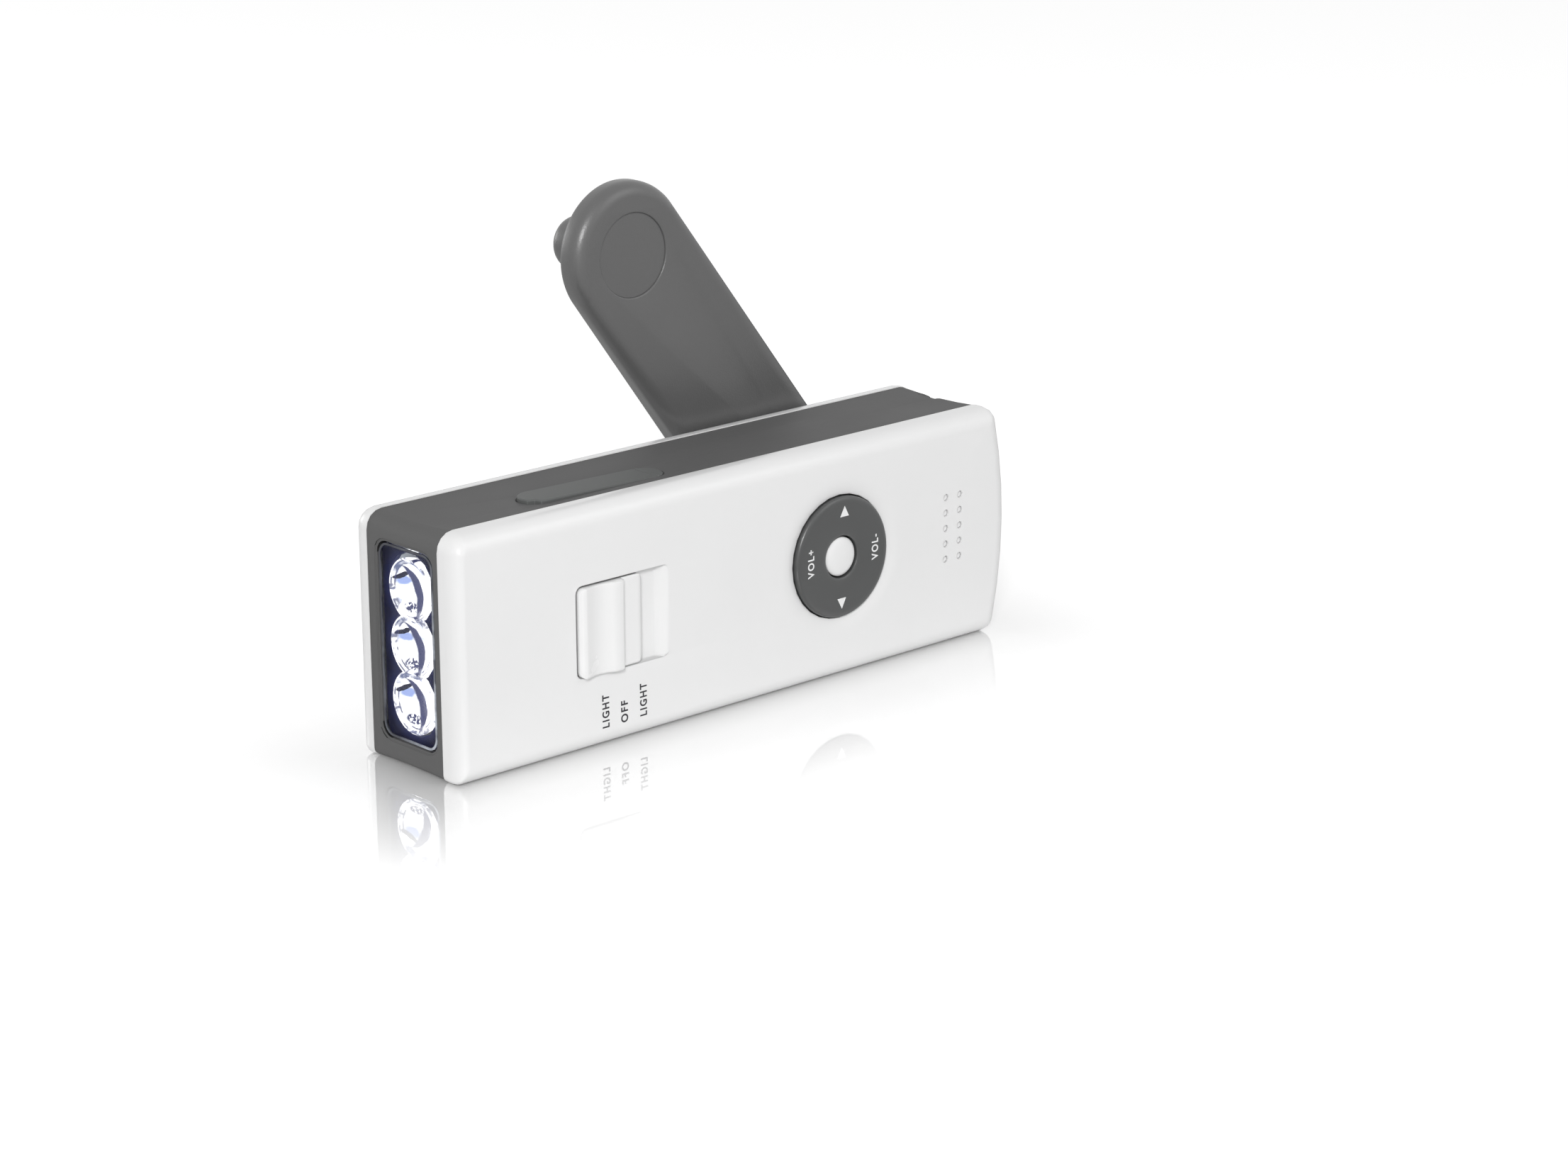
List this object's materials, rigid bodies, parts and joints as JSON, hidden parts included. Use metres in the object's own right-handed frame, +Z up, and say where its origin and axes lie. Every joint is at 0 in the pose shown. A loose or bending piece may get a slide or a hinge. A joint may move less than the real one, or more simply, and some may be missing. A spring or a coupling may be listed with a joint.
{
  "type": "hand crank flashlight",
  "caption": "Pocket-size hand crank flashlight and radio: bowed bar casing with a lamp window at one end, slide switch, rocking dial and a fold-out crank arm on the back.",
  "frame": {"origin": "on the flat strip of the front cover's long lower side, at the middle of the casing's straight length: the surface that the flashlight stands on is at height 0", "axes": "+X along the casing from the lamp window to the bowed end, +Y from the front face towards the crank side, +Z up, away from the long side that it stands on"},
  "size_m": [0.1352, 0.0492, 0.0932],
  "materials": {
    "white_plastic": "gloss white ABS",
    "dark_plastic": "fine matt dark grey ABS",
    "pad_plastic": "satin dark grey",
    "dark_rubber": "matt rubber",
    "clear_plastic": "clear",
    "navy_plastic": "gloss, nearly black blue",
    "mirror_coat": "vacuum metallised",
    "led_plastic": "clear epoxy",
    "circuit_board": "green solder mask",
    "black_plastic": "moulded black",
    "white_cloth": "fine woven",
    "steel": "plated",
    "brass": "turned",
    "copper": "enamelled wire",
    "magnet": "sintered ferrite",
    "nylon": "natural nylon"
  },
  "bodies": {
    "casing": {"front_cover": "white_plastic", "mid_frame": "dark_plastic", "rear_cover": "white_plastic", "window_lens": "clear_plastic", "light_mask": "navy_plastic", "reflector": "mirror_coat", "led_1": "led_plastic", "led_2": "led_plastic", "led_3": "led_plastic", "led_board": "circuit_board", "main_board": "circuit_board", "radio_chip": "black_plastic", "light_switch_body": "black_plastic", "mode_switch_body": "black_plastic", "speaker": "black_plastic", "speaker_cloth": "white_cloth", "earphone_jack": "black_plastic", "charge_socket": "black_plastic", "socket_cover_anchor": "dark_rubber", "casing_screw_1": "steel", "casing_screw_2": "steel", "casing_screw_3": "steel", "casing_screw_4": "steel", "board_screw_1": "steel", "board_screw_2": "steel", "battery_cell_1": "steel", "battery_cell_2": "steel", "battery_cell_3": "steel", "tact_volume_down": "black_plastic", "tact_tune_up": "black_plastic", "tact_volume_up": "black_plastic", "tact_tune_down": "black_plastic", "tact_centre": "black_plastic", "gear_plate": "steel", "idler_axle_1": "steel", "idler_axle_2": "steel", "generator_case": "steel", "generator_coil": "copper", "plate_screw_1": "steel", "plate_screw_2": "steel", "plate_screw_3": "steel"},
    "crank_hub": {"crank_hub": "dark_plastic", "crank_gear": "nylon", "hub_clip": "steel", "hinge_pin": "steel"},
    "crank_arm": {"crank_arm": "dark_plastic", "arm_cap": "dark_plastic", "knob_axle": "steel"},
    "crank_knob": {"crank_knob": "dark_plastic"},
    "idler_gear_1": {"idler_gear_1": "nylon"},
    "idler_gear_2": {"idler_gear_2": "nylon"},
    "rotor": {"generator_magnet": "magnet", "rotor_shaft": "brass"},
    "light_switch_slider": {"light_switch_slider": "white_plastic"},
    "mode_switch_slider": {"mode_switch_slider": "dark_plastic"},
    "pad_ring": {"pad_ring": "dark_rubber"},
    "tuning_pad": {"tuning_pad": "pad_plastic"},
    "centre_button": {"centre_button": "white_plastic"},
    "socket_cover": {"socket_cover": "dark_rubber"}
  },
  "joints": [
    {"name": "crank_spin", "type": "hinge", "parent": "casing", "child": "crank_hub", "pos_m": [0.0427, 0.0218, 0.0225], "axis": [0, 1, 0], "continuous": true},
    {"name": "arm_fold", "type": "hinge", "parent": "crank_hub", "child": "crank_arm", "pos_m": [0.0427, 0.0277, 0.0225], "axis": [-0.7986, 0, -0.6018], "range_deg": [0, 180]},
    {"name": "knob_spin", "type": "hinge", "parent": "crank_arm", "child": "crank_knob", "pos_m": [-0.00039, 0.0361, 0.07968], "axis": [0, 1, 0], "continuous": true},
    {"name": "idler_1_spin", "type": "hinge", "parent": "casing", "child": "idler_gear_1", "pos_m": [0.02579, 0.0181, 0.02866], "axis": [0, 1, 0], "continuous": true},
    {"name": "idler_2_spin", "type": "hinge", "parent": "casing", "child": "idler_gear_2", "pos_m": [0.02168, 0.0162, 0.01738], "axis": [0, 1, 0], "continuous": true},
    {"name": "rotor_spin", "type": "hinge", "parent": "casing", "child": "rotor", "pos_m": [0.03207, 0.0101, 0.02338], "axis": [0, 1, 0], "continuous": true},
    {"name": "light_switch_slide", "type": "slide", "parent": "casing", "child": "light_switch_slider", "axis": [1, 0, 0], "range_m": [0, 0.0038]},
    {"name": "mode_switch_slide", "type": "slide", "parent": "casing", "child": "mode_switch_slider", "axis": [1, 0, 0], "range_m": [-0.0025, 0.0025]},
    {"name": "volume_tilt", "type": "hinge", "parent": "casing", "child": "pad_ring", "pos_m": [0.0242, -0.0008, 0.0236], "axis": [0, 0, 1], "range_deg": [-2.5, 2.5], "stiffness_Nm_per_rad": 0.25},
    {"name": "tuning_tilt", "type": "hinge", "parent": "pad_ring", "child": "tuning_pad", "pos_m": [0.0242, -0.0008, 0.0236], "axis": [1, 0, 0], "range_deg": [-2.5, 2.5], "stiffness_Nm_per_rad": 0.25},
    {"name": "centre_press", "type": "slide", "parent": "casing", "child": "centre_button", "axis": [0, 1, 0], "range_m": [0, 0.0004], "stiffness_N_per_m": 1500},
    {"name": "socket_cover_hinge", "type": "hinge", "parent": "casing", "child": "socket_cover", "pos_m": [-0.0139, 0.0072, 0.04475], "axis": [0, 1, 0], "range_deg": [0, 110], "stiffness_Nm_per_rad": 0.0005, "springref_deg": -17.19}
  ],
  "couplings": [
    {"joint": "idler_1_spin", "follows": "crank_spin", "ratio": -4},
    {"joint": "idler_2_spin", "follows": "crank_spin", "ratio": 12},
    {"joint": "rotor_spin", "follows": "crank_spin", "ratio": -36}
  ]
}
